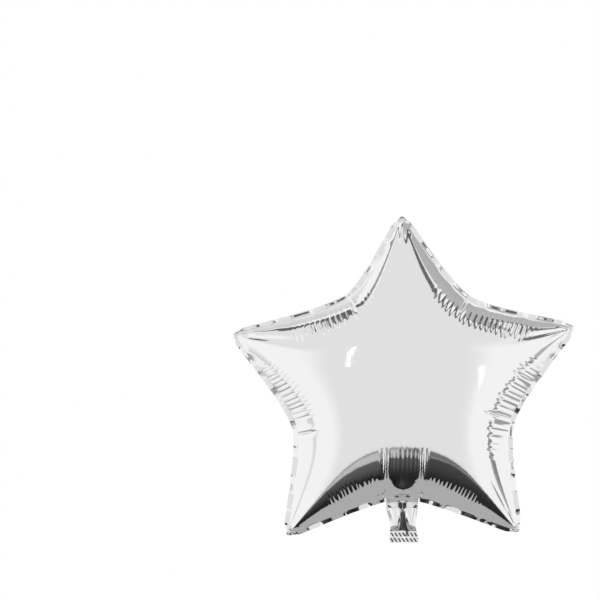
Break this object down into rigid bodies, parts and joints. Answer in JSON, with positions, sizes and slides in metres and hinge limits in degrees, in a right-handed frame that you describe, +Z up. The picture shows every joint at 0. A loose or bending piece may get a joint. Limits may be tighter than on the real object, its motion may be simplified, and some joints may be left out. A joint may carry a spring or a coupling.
{
  "type": "star foil balloon",
  "caption": "Blown-up silver foil balloon in the shape of a five-pointed star, with a welded hem and a filling tail at the bottom for a ribbon.",
  "frame": {"origin": "middle of the tail's waist, where a ribbon is tied round it", "axes": "+Z up from the tail to the top arm, -Y out of the star's face, +X to the right arm seen from the front"},
  "size_m": [0.4228, 0.1442, 0.405],
  "materials": {
    "silver_foil": "polished"
  },
  "bodies": {
    "root": {"star_envelope": "silver_foil"}
  },
  "joints": []
}
